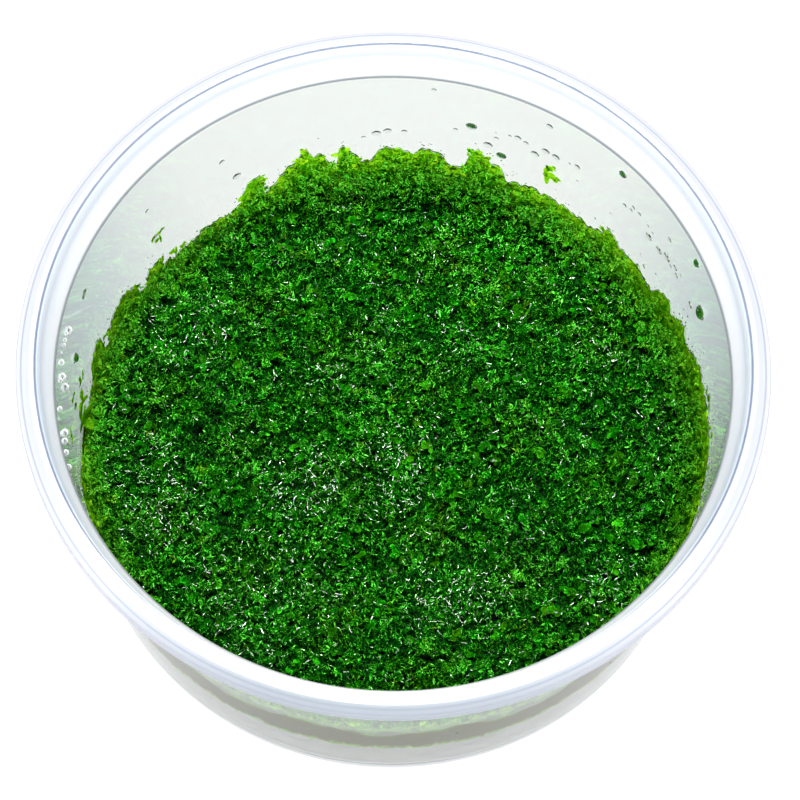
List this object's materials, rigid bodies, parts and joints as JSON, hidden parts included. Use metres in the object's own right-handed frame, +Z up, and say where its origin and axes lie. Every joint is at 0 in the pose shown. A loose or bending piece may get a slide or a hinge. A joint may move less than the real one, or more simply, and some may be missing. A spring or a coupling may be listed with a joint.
{
  "type": "riccardia moss in a culture cup",
  "caption": "Mat of riccardia moss on a bed of clear nutrient gel, in a round clear plastic culture cup with a flared rim.",
  "frame": {"origin": "centre of the cup's foot, on the surface that it stands on", "axes": "+Z up along the cup's axis, -Y towards the viewer, +X to the right"},
  "size_m": [0.1006, 0.1006, 0.046],
  "materials": {
    "clear_plastic": "gloss",
    "clear_gel": "satin",
    "moss": "matte"
  },
  "bodies": {
    "root": {"cup": "clear_plastic", "nutrient_gel": "clear_gel", "moss_mat": "moss"}
  },
  "joints": []
}
